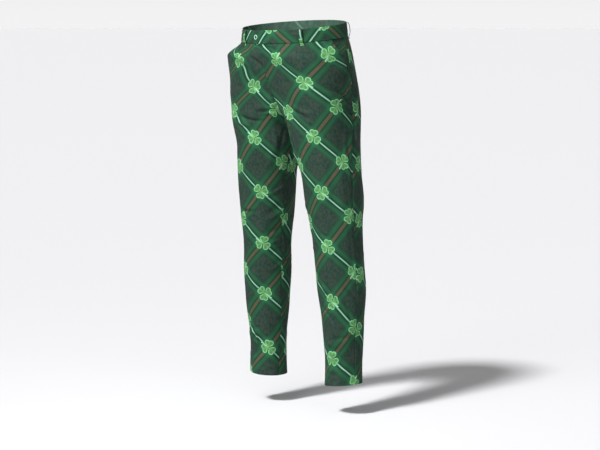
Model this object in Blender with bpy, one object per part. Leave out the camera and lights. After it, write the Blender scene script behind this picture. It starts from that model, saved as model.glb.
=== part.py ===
"""Suit trousers in their worn form: cloth walls cut, lapped and seamed as a maker would sew them.

Metres, +Z up. The origin is the middle of the waist, the wearer's front is -Y and their left is +X.
Each half is drawn on rings. An angle round a ring is 0 at the inseam, 90 at the front, 180 at the
outer side and 270 at the back. Above the crotch a ring stops where it meets the middle plane.
"""
import bpy
import numpy as np
from mathutils import Matrix, Vector

LEFT, RIGHT, BOTH = 1, -1, 0

# Driving dimensions
CLOTH = 0.0016
BAND_CLOTH = 0.0026
FACING_CLOTH = 0.0012
SEAM_GAP = 0.0003
BAND_HEIGHT = 0.038
BAND_PROUD = 0.0008
CROTCH_Z = -0.255
HEM_Z = -0.994
WAIST_TILT = 0.116
TILT_END_Z = -0.150
HEM_DROP = 0.009
HEM_DROP_START_Z = -0.800

# Rings: height, centre_out, centre_back, half_width, front_depth, back_depth
SECTIONS = (
    (0.030, 0.0000, 0.000, 0.162, 0.128, 0.126),
    (-0.019, 0.0010, 0.001, 0.167, 0.128, 0.131),
    (-0.050, 0.0040, 0.004, 0.171, 0.126, 0.138),
    (-0.100, 0.0180, 0.010, 0.165, 0.117, 0.144),
    (-0.150, 0.0380, 0.015, 0.148, 0.108, 0.145),
    (-0.200, 0.0660, 0.017, 0.121, 0.103, 0.137),
    (-0.255, 0.0982, 0.016, 0.098, 0.102, 0.119),
    (-0.320, 0.1120, 0.016, 0.092, 0.097, 0.104),
    (-0.400, 0.1275, 0.020, 0.084, 0.088, 0.090),
    (-0.480, 0.1345, 0.025, 0.078, 0.082, 0.084),
    (-0.560, 0.1410, 0.030, 0.072, 0.075, 0.077),
    (-0.650, 0.1470, 0.036, 0.068, 0.072, 0.074),
    (-0.740, 0.1500, 0.041, 0.064, 0.067, 0.069),
    (-0.820, 0.1510, 0.044, 0.060, 0.061, 0.063),
    (-0.900, 0.1520, 0.046, 0.053, 0.055, 0.057),
    (-0.950, 0.1525, 0.046, 0.051, 0.053, 0.055),
    (-1.020, 0.1525, 0.046, 0.053, 0.056, 0.058),
)

# Heights of the rows, in runs: start, end, steps, crowding. A crowding over 1 draws the steps
# together towards the run's end
RING_RUNS = (
    (-BAND_HEIGHT / 2 - SEAM_GAP, -0.070, 5, 1),
    (-0.070, -0.202, 7, 1),
    (-0.202, -0.238, 3, 1),
    (-0.238, CROTCH_Z, 4, 2),
    (CROTCH_Z, -0.320, 3, 1),
    (-0.320, -0.850, 15, 1),
    (-0.850, HEM_Z, 6, 1),
)

# The side seam and the slanted pocket mouth: height, angle round the ring
OUTSEAM = ((-0.019, 192.0), (-0.150, 192.5), (-0.250, 190.0), (-0.320, 186.5), (-0.400, 182.0),
           (-0.530, 178.0), (-0.680, 175.0), (-1.000, 175.0))
MOUTH = ((-0.019, 172.0), (-0.050, 173.5), (-0.100, 179.0), (-0.150, 192.2))
MOUTH_END_Z = -0.150
INSEAM_SHIFT = 5.0
INSEAM_SHIFT_END_Z = -0.380

# The room of a hand in each slanted pocket
HAND_ROOM = 0.040
HAND_ANGLE, HAND_SPREAD = 137.0, 35.0
HAND_TOP_Z, HAND_FULL_Z = -0.020, -0.062
HAND_FADE_Z, HAND_END_Z = -0.165, -0.340
MOUTH_GAPE = 0.009
GAPE_START_ANGLE, GAPE_FULL_ANGLE = 150.0, 176.0
GAPE_FADE = 0.060

# The pocket's back wall, seen in its mouth
FACING_FRONT_ANGLE = 116.0
FACING_END_Z = -0.262
FACING_DEPTH = 0.0022
FACING_RISE = 6.0
FACING_FLUSH_Z, FACING_UNDER_Z = -0.100, -0.142
FACING_PAST_HAND, FACING_HAND_FADE = 14.0, 12.0

# The fly's lap and the waistband's tab, left over right
LAP = 0.006
LAP_LIFT = CLOTH + 2 * SEAM_GAP
LAP_REACH = 0.034
FLY_FADE_Z, FLY_END_Z, LIFT_END_Z = -0.150, -0.178, -0.208
LIFTED_EDGE_CLEAR = 0.6
TAB = 0.032
TAB_LIFT = BAND_CLOTH + 2 * SEAM_GAP
TAB_REACH = 0.045

# Grid of a leg panel, a waistband half and a facing
PANEL_CELLS = 16
SWING_EVENNESS, SWING_LIMIT = 0.8, 5.0
BAND_CELLS = 32
BAND_ROWS = 2
FACING_CELLS = 9
FACING_ROWS = 11

# Main folds: half, angle, height, end_angle, end_height, spread, rise (outward above zero)
FOLDS = (
    (LEFT, 190, -0.150, 158, -0.215, 0.011, -0.0035),
    (LEFT, 203, -0.150, 197, -0.330, 0.012, 0.0040),
    (LEFT, 216, -0.165, 206, -0.300, 0.011, -0.0035),
    (LEFT, 30, -0.232, 52, -0.400, 0.013, 0.0045),
    (LEFT, 56, -0.250, 70, -0.380, 0.012, -0.0030),
    (LEFT, 150, -0.300, 160, -0.640, 0.015, 0.0030),
    (LEFT, 132, -0.330, 138, -0.560, 0.014, -0.0025),
    (LEFT, 88, -0.026, 64, -0.062, 0.009, 0.0030),
    (RIGHT, 78, -0.165, 34, -0.248, 0.011, 0.0045),
    (RIGHT, 62, -0.190, 20, -0.262, 0.010, -0.0035),
    (RIGHT, 84, -0.232, 48, -0.238, 0.010, -0.0025),
    (RIGHT, 203, -0.160, 196, -0.300, 0.013, 0.0040),
    (RIGHT, 30, -0.262, 46, -0.420, 0.013, 0.0035),
    (RIGHT, 128, -0.300, 118, -0.520, 0.015, 0.0025),
    (BOTH, 8, -0.490, 48, -0.530, 0.011, -0.0030),
    (BOTH, 2, -0.560, 50, -0.585, 0.011, -0.0030),
    (BOTH, -6, -0.625, 40, -0.640, 0.012, -0.0025),
    (BOTH, 50, -0.872, 140, -0.882, 0.015, 0.0040),
    (BOTH, 38, -0.926, 150, -0.934, 0.014, -0.0035),
    (BOTH, 300, -0.252, 232, -0.300, 0.014, -0.0050),
    (BOTH, 318, -0.285, 262, -0.345, 0.013, -0.0040),
    (BOTH, 296, -0.545, 240, -0.520, 0.012, -0.0045),
    (BOTH, 304, -0.590, 236, -0.585, 0.013, -0.0050),
    (BOTH, 292, -0.645, 246, -0.655, 0.012, -0.0035),
    (BOTH, 236, -0.890, 310, -0.885, 0.014, 0.0030),
)
FOLD_METRES_PER_DEGREE = 0.0016
FOLD_END = 0.3
FOLD_CLEAR_OF_MIDDLE = 0.020

# Belt loops: name, half, angle
LOOPS = (
    ("belt_loop_front_left", LEFT, 135.0),
    ("belt_loop_front_right", RIGHT, 117.0),
    ("belt_loop_back_left", LEFT, 217.0),
    ("belt_loop_back_right", RIGHT, 217.0),
    ("belt_loop_centre_back", LEFT, 270.2),
)
LOOP_WIDTH = 0.010
LOOP_CLOTH = 0.0015
LOOP_FOOT_Z = -0.022

# A loop's path from the band's top edge down to the panel: height, stand_off
LOOP_PATH = (
    (0.0178, 0.0013), (0.0130, 0.0045), (0.0060, 0.0062), (-0.0040, 0.0064), (-0.0140, 0.0050),
    (-0.0215, 0.0016), (-0.0290, 0.0004),
)

# The waist button, turned from its profile: radius, height
BUTTON_FROM_TAB_END = 0.013
BUTTON_SIDES = 24
BUTTON_PROFILE = (
    (0.0000, 0.0000), (0.0052, 0.0000), (0.0066, 0.0006), (0.0071, 0.0015), (0.0066, 0.0025),
    (0.0056, 0.0029), (0.0047, 0.0025), (0.0042, 0.0018), (0.0000, 0.0017),
)

CLOTH_GREEN = (0.045, 0.115, 0.070)
FACING_GREEN = (0.040, 0.100, 0.062)
BAND_GREEN = (0.042, 0.108, 0.066)
BUTTON_GREEN = (0.075, 0.150, 0.100)
CLOTH_ROUGHNESS, BUTTON_ROUGHNESS = 0.9, 0.35
SHARP_ANGLE = 50.0

# Steps over which a surface's slope is measured, round the ring in degrees and up it
TURN_STEP, RISE_STEP = 0.25, 0.0005


def ease(share):
    """A soft step from 0 to 1."""
    share = np.clip(share, 0.0, 1.0)
    return share * share * (3.0 - 2.0 * share)


def curve_through(rows, at):
    """Values at the heights `at`, on smooth curves through a table whose first column is the height."""
    rows = np.array(sorted(rows))
    heights, values = rows[:, 0], rows[:, 1:]
    slopes = np.gradient(values, heights, axis=0)
    at = np.asarray(at, dtype=float)
    low = np.clip(np.searchsorted(heights, at) - 1, 0, len(heights) - 2)
    step = (heights[low + 1] - heights[low])[..., None]
    t = (at - heights[low])[..., None] / step
    start, end = values[low], values[low + 1]
    return ((2 * t**3 - 3 * t**2 + 1) * start + (t**3 - 2 * t**2 + t) * step * slopes[low]
            + (3 * t**2 - 2 * t**3) * end + (t**3 - t**2) * step * slopes[low + 1])


def angle_on(line, height):
    """The angle of a seam or edge at a height."""
    return curve_through(line, height)[..., 0]


def section_at(height):
    """Ring sizes at a height, in the order of the columns of SECTIONS after the first."""
    return np.moveaxis(curve_through(SECTIONS, height), -1, 0)


def middle_angle(height, clear=SEAM_GAP / 2):
    """The front angle at which a ring stops short of the middle plane. It is 0 below the crotch."""
    centre_out, _, half_width, _, _ = section_at(height)
    return np.degrees(np.arccos(np.clip((centre_out - clear) / half_width, -1.0, 1.0)))


def inseam_shift(height):
    """How far the inseam lies to the front of the ring's inner side, in degrees."""
    return INSEAM_SHIFT * ease((CROTCH_Z - height) / (CROTCH_Z - INSEAM_SHIFT_END_Z))


def hand_room(angle, height, gape):
    """How far the cloth over a pocket stands out, more along the mouth's free edge where gape is 1."""
    down = ease((HAND_TOP_Z - height) / (HAND_TOP_Z - HAND_FULL_Z))
    up = ease((height - HAND_END_Z) / (HAND_FADE_Z - HAND_END_Z))
    around = np.exp(-(((angle - HAND_ANGLE) / HAND_SPREAD) ** 2))
    free_edge = ease((height - MOUTH_END_Z) / GAPE_FADE) * ease(
        (angle - GAPE_START_ANGLE) / (GAPE_FULL_ANGLE - GAPE_START_ANGLE))
    return down * (HAND_ROOM * around * up + gape * MOUTH_GAPE * free_edge)


def smooth_skin(side, angle, height, hand=1.0, gape=0.0):
    """Points of the outer cloth without folds: the ring, the hand's room, the waist's and hem's tilt."""
    turn = np.radians(angle)
    centre_out, centre_back, half_width, front, back = section_at(height)
    across, ahead = np.cos(turn), np.sin(turn)
    room = hand * hand_room(angle, height, gape)
    x = side * (centre_out - (half_width + room) * across)
    y = centre_back - (np.where(ahead > 0, front, back) + room) * ahead
    waist_share = ease((height - TILT_END_Z) / -TILT_END_Z)
    hem_share = ease((HEM_DROP_START_Z - height) / (HEM_DROP_START_Z - HEM_Z))
    z = height + WAIST_TILT * waist_share * y - HEM_DROP * hem_share * (0.5 + 0.5 * across)
    return np.stack([x, y, z], axis=-1)


def fold_rise(side, angle, height):
    """How far the folds lift or sink the cloth."""
    total = np.zeros(np.broadcast(angle, height).shape)
    for half, start, start_z, end, end_z, spread, rise in FOLDS:
        if half not in (side, BOTH):
            continue
        around = ((angle - start + 180.0) % 360.0 - 180.0) * FOLD_METRES_PER_DEGREE
        run = np.array([(end - start) * FOLD_METRES_PER_DEGREE, end_z - start_z])
        length = np.hypot(*run)
        along = (around * run[0] + (height - start_z) * run[1]) / length**2
        off = (around * run[1] - (height - start_z) * run[0]) / length
        ends = ease(along / FOLD_END) * ease((1.0 - along) / FOLD_END)
        total = total + rise * ends * np.exp(-((off / spread) ** 2))
    return total


def skin(side, angle, height, lift=0.0, hand=1.0, gape=0.0):
    """Points of the cloth's outer face, moved out by lift. Past the centre front it follows the other half."""
    angle, height = np.broadcast_arrays(np.asarray(angle, float), np.asarray(height, float))
    middle = middle_angle(height, clear=0.0)
    past = (angle < middle) & (height > CROTCH_Z)
    own = np.where(past, -side, side)
    angle = np.where(past, 2.0 * middle - angle, angle)
    points = smooth_skin(own, angle, height, hand, gape)
    round_ring = (smooth_skin(own, angle + TURN_STEP, height, hand, gape)
                  - smooth_skin(own, angle - TURN_STEP, height, hand, gape))
    up_leg = (smooth_skin(own, angle, height + RISE_STEP, hand, gape)
              - smooth_skin(own, angle, height - RISE_STEP, hand, gape))
    normal = np.cross(round_ring, up_leg) * own[..., None]
    normal /= np.linalg.norm(normal, axis=-1, keepdims=True)
    folds = np.where(own == LEFT, fold_rise(LEFT, angle, height), fold_rise(RIGHT, angle, height))
    folds = folds * ease(np.abs(points[..., 0]) / FOLD_CLEAR_OF_MIDDLE)
    return points + normal * (folds + lift)[..., None]


def ring_heights():
    """The heights of a leg panel's rows, from the waistband to the hem."""
    heights = [RING_RUNS[0][0]]
    for start, end, steps, crowding in RING_RUNS:
        left = (1.0 - np.arange(1, steps + 1) / steps) ** crowding
        heights.extend(end + (start - end) * left)
    return np.array(heights)


def arc_degrees(height, length):
    """Degrees that a length takes round the front of the ring."""
    half_width = section_at(height)[2]
    return np.degrees(length / half_width)


def fly_shares(height):
    """How much of the fly's lap, and of its lift, is left at a height: the lap ends first."""
    lap = ease((height - FLY_END_Z) / (FLY_FADE_Z - FLY_END_Z))
    lifted = ease((height - LIFT_END_Z) / (FLY_END_Z - LIFT_END_Z))
    return lap, lifted


def lap_lift(angle, height, lift, reach):
    """The lift of a lapping edge: whole at the centre front, none a reach away."""
    away = (angle - middle_angle(height, clear=0.0)) / arc_degrees(height, 1.0)
    return lift * ease(1.0 - away / reach)


def make_material(name, colour, roughness):
    material = bpy.data.materials.new(name)
    material.use_nodes = True
    shader = material.node_tree.nodes["Principled BSDF"]
    shader.inputs["Base Color"].default_value = (*colour, 1.0)
    shader.inputs["Roughness"].default_value = roughness
    shader.inputs["Metallic"].default_value = 0.0
    return material


def make_object(name, points, faces, colour, roughness=CLOTH_ROUGHNESS):
    mesh = bpy.data.meshes.new(name)
    mesh.from_pydata([tuple(point) for point in points], [], faces)
    mesh.validate()
    mesh.shade_smooth()
    mesh.set_sharp_from_angle(angle=np.radians(SHARP_ANGLE))
    piece = bpy.data.objects.new(name, mesh)
    piece.data.materials.append(make_material(name, colour, roughness))
    bpy.context.scene.collection.objects.link(piece)
    return piece


def wall_faces(rows, columns, flip):
    """Faces of a closed wall: an outer grid, an inner grid of the same size after it, and the rim."""
    inner = rows * columns
    faces = []
    for row in range(rows - 1):
        for column in range(columns - 1):
            corner = row * columns + column
            quad = (corner, corner + columns, corner + columns + 1, corner + 1)
            faces.append(quad)
            faces.append(tuple(index + inner for index in reversed(quad)))
    top = list(range(columns))
    bottom = [(rows - 1) * columns + column for column in range(columns)]
    first = [row * columns for row in range(rows)]
    last = [row * columns + columns - 1 for row in range(rows)]
    rim = top + last[1:] + bottom[::-1][1:] + first[::-1][1:-1]
    for start, end in zip(rim, rim[1:] + rim[:1]):
        faces.append((start, end, end + inner, start + inner))
    return [tuple(reversed(face)) for face in faces] if flip else faces


def make_wall(name, side, outer, inner, colour):
    """A closed cloth wall from two grids of points, rows from the top down and columns round the ring."""
    rows, columns = outer.shape[:2]
    points = np.concatenate([outer.reshape(-1, 3), inner.reshape(-1, 3)])
    return make_object(name, points, wall_faces(rows, columns, flip=side == RIGHT), colour)


def panel_grid(first, last, heights, cells):
    """Angles and heights of a panel's grid between two edges, given as an angle for each row."""
    share = np.linspace(0.0, 1.0, cells + 1)[None, :]
    angles = first[:, None] * (1.0 - share) + last[:, None] * share
    return angles, np.repeat(heights[:, None], cells + 1, axis=1)


def leg_columns(centre_edge, outer_edge, rest):
    """Angles of a leg panel's columns, from its centre edge to its side seam, for each row.

    The centre edge swings round to rest, its angle at the inseam. The columns near it take up the swing.
    """
    share = np.linspace(0.0, 1.0, PANEL_CELLS + 1)[None, :]
    swing = (centre_edge - rest)[:, None]
    span = (outer_edge - rest)[:, None]
    softness = SWING_EVENNESS * np.abs(span) / np.maximum(np.abs(swing), 1.0)
    return rest + span * share + swing * (1.0 - share) ** np.clip(softness, 1.0, SWING_LIMIT)


def half_gap_degrees(height):
    """Half a seam gap as degrees round the outer side of a ring."""
    _, _, _, front, back = section_at(height)
    return np.degrees(SEAM_GAP / 2 / (0.5 * (front + back)))


def front_panel(name, side):
    """A front: from the centre front and inseam to the side seam, cut away along the pocket mouth."""
    heights = ring_heights()
    inner_edge = np.where(heights > CROTCH_Z, middle_angle(heights),
                          inseam_shift(heights) + half_gap_degrees(heights))
    outer_edge = np.where(heights > MOUTH_END_Z, angle_on(MOUTH, heights), angle_on(OUTSEAM, heights))
    outer_edge = outer_edge - half_gap_degrees(heights)
    if side == LEFT:
        lap, lifted = fly_shares(heights)
        held_back = middle_angle(heights, clear=SEAM_GAP / 2 + LIFTED_EDGE_CLEAR * LAP_LIFT * lifted)
        lapped = middle_angle(heights, clear=0.0) - arc_degrees(heights, LAP)
        inner_edge = np.where(heights > LIFT_END_Z, held_back * (1.0 - lap) + lapped * lap, inner_edge)
    angles = leg_columns(inner_edge, outer_edge, rest=0.0)
    levels = np.broadcast_to(heights[:, None], angles.shape)
    lift = np.zeros(angles.shape)
    if side == LEFT:
        lift = lifted[:, None] * lap_lift(angles, levels, LAP_LIFT, LAP_REACH)
    outer = skin(side, angles, levels, lift, gape=1.0)
    inner = skin(side, angles, levels, lift - CLOTH, gape=1.0)
    return make_wall(name, side, outer, inner, CLOTH_GREEN)


def back_panel(name, side):
    """A back: from the side seam round to the seat seam and inseam."""
    heights = ring_heights()
    outer_edge = angle_on(OUTSEAM, heights) + half_gap_degrees(heights)
    inner_edge = np.where(heights > CROTCH_Z, 360.0 - middle_angle(heights),
                          360.0 + inseam_shift(heights) - half_gap_degrees(heights))
    angles = leg_columns(inner_edge, outer_edge, rest=360.0)[:, ::-1]
    levels = np.broadcast_to(heights[:, None], angles.shape)
    outer = skin(side, angles, levels)
    inner = skin(side, angles, levels, -CLOTH)
    return make_wall(name, side, outer, inner, CLOTH_GREEN)


def pocket_facing(name, side):
    """The pocket's back wall: flush with the side seam, then under the front and down into the pocket."""
    heights = np.linspace(-BAND_HEIGHT / 2 - SEAM_GAP, FACING_END_Z, FACING_ROWS + 1)
    seam = angle_on(OUTSEAM, heights) - half_gap_degrees(heights)
    under = ease((FACING_FLUSH_Z - heights) / (FACING_FLUSH_Z - FACING_UNDER_Z))
    angles, levels = panel_grid(np.full(len(heights), FACING_FRONT_ANGLE), seam, heights, FACING_CELLS)
    inset = ease((seam[:, None] - angles) / FACING_RISE)
    depth = FACING_DEPTH * np.maximum(inset, under[:, None])
    hand = ease((angles - (seam[:, None] - FACING_PAST_HAND)) / FACING_HAND_FADE)
    outer = skin(side, angles, levels, -depth, hand=hand)
    inner = skin(side, angles, levels, -depth - FACING_CLOTH, hand=hand)
    return make_wall(name, side, outer, inner, FACING_GREEN)


def waistband_half(name, side):
    """Half the waistband, from the seat seam to the centre front. The left half ends in the lapping tab."""
    heights = np.linspace(BAND_HEIGHT / 2, -BAND_HEIGHT / 2, BAND_ROWS + 1)
    front = middle_angle(heights)
    if side == LEFT:
        front = middle_angle(heights, clear=0.0) - arc_degrees(heights, TAB)
    back = 360.0 - middle_angle(heights)
    angles, levels = panel_grid(front, back, heights, BAND_CELLS)
    lift = np.zeros(angles.shape)
    if side == LEFT:
        lift = lap_lift(angles, levels, TAB_LIFT, TAB_REACH)
    outer = skin(side, angles, levels, BAND_PROUD + lift)
    inner = skin(side, angles, levels, BAND_PROUD + lift - BAND_CLOTH)
    return make_wall(name, side, outer, inner, BAND_GREEN)


def belt_loop(name, side, angle):
    """A belt loop: a strip that leaves the panel, arches over the band and is sewn at its top edge."""
    path = np.array(LOOP_PATH)
    heights = path[:, 0]
    width = arc_degrees(heights, LOOP_WIDTH)
    angles, levels = panel_grid(angle - width / 2, angle + width / 2, heights, 1)
    stand_off = (path[:, 1] + np.where(heights > LOOP_FOOT_Z, BAND_PROUD, 0.0))[:, None]
    outer = skin(side, angles, levels, stand_off + LOOP_CLOTH)
    inner = skin(side, angles, levels, stand_off)
    return make_wall(name, side, outer, inner, CLOTH_GREEN)


def waist_button():
    """The button on the tab, turned from its profile and laid on the tab's face."""
    profile = np.array(BUTTON_PROFILE)
    turns = np.linspace(0.0, 2.0 * np.pi, BUTTON_SIDES, endpoint=False)
    rings = [np.stack([radius * np.cos(turns), radius * np.sin(turns), np.full(BUTTON_SIDES, height)], axis=-1)
             for radius, height in profile[1:-1]]
    points = [np.array([[0.0, 0.0, profile[0][1]]])] + rings + [np.array([[0.0, 0.0, profile[-1][1]]])]
    faces = []
    last_ring = 1 + (len(rings) - 1) * BUTTON_SIDES
    for side in range(BUTTON_SIDES):
        after = (side + 1) % BUTTON_SIDES
        faces.append((0, 1 + after, 1 + side))
        for ring in range(len(rings) - 1):
            base = 1 + ring * BUTTON_SIDES
            faces.append((base + side, base + after, base + BUTTON_SIDES + after, base + BUTTON_SIDES + side))
        faces.append((last_ring + side, last_ring + after, last_ring + BUTTON_SIDES))
    button = make_object("waist_button", np.concatenate(points), faces, BUTTON_GREEN, BUTTON_ROUGHNESS)
    angle = middle_angle(0.0, clear=0.0) - arc_degrees(0.0, TAB - BUTTON_FROM_TAB_END)
    face_lift = BAND_PROUD + TAB_LIFT
    seat = Vector(skin(LEFT, angle, 0.0, face_lift + SEAM_GAP))
    outward = (seat - Vector(skin(LEFT, angle, 0.0, face_lift - SEAM_GAP))).normalized()
    button.matrix_world = Matrix.Translation(seat) @ outward.to_track_quat("Z", "Y").to_matrix().to_4x4()
    return button


def build():
    for item in list(bpy.data.objects):
        bpy.data.objects.remove(item, do_unlink=True)
    for half_name, side in (("left", LEFT), ("right", RIGHT)):
        front_panel("front_" + half_name, side)
        back_panel("back_" + half_name, side)
        pocket_facing("pocket_facing_" + half_name, side)
        waistband_half("waistband_" + half_name, side)
    for name, side, angle in LOOPS:
        belt_loop(name, side, angle)
    waist_button()


build()
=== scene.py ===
"""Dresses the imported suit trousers: thin cloth shells on their solids' form, with creases, print and sewing.

Metres, +Z up. The origin is the middle of the waist, the wearer's front is -Y and their left is +X.
Each half is drawn on rings. An angle round a ring is 0 at the inseam, 90 at the front, 180 at the
outer side and 270 at the back. Above the crotch a ring stops where it meets the middle plane.
"""
from functools import partialmethod

import bpy
import numpy as np
from mathutils import Matrix, Vector


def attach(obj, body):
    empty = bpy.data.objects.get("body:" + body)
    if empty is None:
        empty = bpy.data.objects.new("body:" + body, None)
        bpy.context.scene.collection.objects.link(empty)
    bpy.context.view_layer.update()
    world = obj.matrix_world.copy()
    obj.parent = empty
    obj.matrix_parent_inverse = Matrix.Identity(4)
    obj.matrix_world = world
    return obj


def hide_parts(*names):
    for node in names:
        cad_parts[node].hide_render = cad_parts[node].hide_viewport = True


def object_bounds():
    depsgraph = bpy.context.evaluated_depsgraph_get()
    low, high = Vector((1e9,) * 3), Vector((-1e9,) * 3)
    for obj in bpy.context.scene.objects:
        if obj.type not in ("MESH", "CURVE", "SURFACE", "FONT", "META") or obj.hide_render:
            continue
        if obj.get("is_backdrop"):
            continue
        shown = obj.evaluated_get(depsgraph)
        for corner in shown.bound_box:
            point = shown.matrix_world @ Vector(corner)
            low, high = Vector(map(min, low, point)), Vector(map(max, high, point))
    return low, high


LEFT, RIGHT, BOTH = 1, -1, 0

# Driving dimensions, as on the solids
CLOTH = 0.0016
BAND_CLOTH = 0.0026
FACING_CLOTH = 0.0012
SEAM_GAP = 0.0003
# Here the panels' cloth is thinner, its edges all but touch, and its top runs up inside the band
PANEL_CLOTH = 0.0012
SEAM_CLOSED = 0.00005
TUCK = 0.0025
BAND_HEIGHT = 0.038
BAND_PROUD = 0.0008
PANEL_TOP_Z = -BAND_HEIGHT / 2 - SEAM_GAP
CROTCH_Z = -0.255
HEM_Z = -0.994
WAIST_TILT = 0.116
TILT_END_Z = -0.150
HEM_DROP = 0.009
HEM_DROP_START_Z = -0.800

# Rings, in millimetres: height, centre_out, centre_back, half_width, front_depth, back_depth
SECTIONS = (
    (30, 0, 0, 162, 128, 126), (-19, 1, 1, 167, 128, 131), (-50, 4, 4, 171, 126, 138),
    (-100, 18, 10, 165, 117, 144), (-150, 38, 15, 148, 108, 145), (-200, 66, 17, 121, 103, 137),
    (-255, 98.2, 16, 98, 102, 119), (-320, 112, 16, 92, 97, 104), (-400, 127.5, 20, 84, 88, 90),
    (-480, 134.5, 25, 78, 82, 84), (-560, 141, 30, 72, 75, 77), (-650, 147, 36, 68, 72, 74),
    (-740, 150, 41, 64, 67, 69), (-820, 151, 44, 60, 61, 63), (-900, 152, 46, 53, 55, 57),
    (-950, 152.5, 46, 51, 53, 55), (-1020, 152.5, 46, 53, 56, 58),
)

# The side seam and the slanted pocket mouth: height, angle round the ring
OUTSEAM = ((-0.019, 192.0), (-0.150, 192.5), (-0.250, 190.0), (-0.320, 186.5), (-0.400, 182.0),
           (-0.530, 178.0), (-0.680, 175.0), (-1.000, 175.0))
MOUTH = ((-0.019, 172.0), (-0.050, 173.5), (-0.100, 179.0), (-0.150, 192.2))
MOUTH_END_Z = -0.150
INSEAM_SHIFT = 5.0
INSEAM_SHIFT_END_Z = -0.380

# The room of a hand in each slanted pocket
HAND_ROOM = 0.040
HAND_ANGLE, HAND_SPREAD = 137.0, 35.0
HAND_TOP_Z, HAND_FULL_Z = -0.020, -0.062
HAND_FADE_Z, HAND_END_Z = -0.165, -0.340
MOUTH_GAPE = 0.009
GAPE_START_ANGLE, GAPE_FULL_ANGLE = 150.0, 176.0
GAPE_FADE = 0.060

# The pocket's back wall, seen in its mouth
FACING_FRONT_ANGLE = 116.0
FACING_END_Z = -0.262
FACING_DEPTH = 0.0022
FACING_RISE = 6.0
FACING_FLUSH_Z, FACING_UNDER_Z = -0.100, -0.142
FACING_PAST_HAND, FACING_HAND_FADE = 14.0, 12.0

# The fly's lap and the waistband's tab, left over right
LAP = 0.006
LAP_LIFT = CLOTH + 2 * SEAM_GAP
LAP_REACH = 0.034
FLY_FADE_Z, FLY_END_Z, LIFT_END_Z = -0.150, -0.178, -0.208
LIFTED_EDGE_CLEAR = 0.6
TAB = 0.032
TAB_LIFT = BAND_CLOTH + 2 * SEAM_GAP
TAB_REACH = 0.045
BUTTON_FROM_TAB_END = 0.013


# Main folds of each half, and of both: angle, way down, end_angle, end_way down, spread, rise. Angles in
# degrees, the rest in millimetres, with the rise outward above zero
FOLDS = {
    LEFT: (
        (190, 150, 158, 215, 11, -3.5), (203, 150, 197, 330, 12, 4), (216, 165, 206, 300, 11, -3.5),
        (30, 232, 52, 400, 13, 4.5), (56, 250, 70, 380, 12, -3), (150, 300, 160, 640, 15, 3),
        (132, 330, 138, 560, 14, -2.5), (88, 26, 64, 62, 9, 3),
    ),
    RIGHT: (
        (78, 165, 34, 248, 11, 4.5), (62, 190, 20, 262, 10, -3.5), (84, 232, 48, 238, 10, -2.5),
        (203, 160, 196, 300, 13, 4), (30, 262, 46, 420, 13, 3.5), (128, 300, 118, 520, 15, 2.5),
    ),
    BOTH: (
        (8, 490, 48, 530, 11, -3), (2, 560, 50, 585, 11, -3), (-6, 625, 40, 640, 12, -2.5),
        (50, 872, 140, 882, 15, 4), (38, 926, 150, 934, 14, -3.5), (300, 252, 232, 300, 14, -5),
        (318, 285, 262, 345, 13, -4), (296, 545, 240, 520, 12, -4.5), (304, 590, 236, 585, 13, -5),
        (292, 645, 246, 655, 12, -3.5), (236, 890, 310, 885, 14, 3),
    ),
}
FOLD_METRES_PER_DEGREE = 0.0016
FOLD_END = 0.3
FOLD_CLEAR_OF_MIDDLE = 0.011
# A crease runs past its two places, fades and fans out at its ends, bows, and heaps the cloth beside it
CREASE_REACH, CREASE_END, CREASE_FAN, CREASE_BOW = 1.5, 0.42, 0.9, 0.10
SHOULDER_SHARE, SHOULDER_REACH = 0.42, 2.6
# No crease crosses the band's seam
BAND_SEAM_STILL, BAND_SEAM_FADE = 0.003, 0.009
# Beside the middle plane the cloth's outer face sinks no further away from the other half
MIDDLE_REACH, MIDDLE_HOLD = 0.004, 3.0

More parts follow.
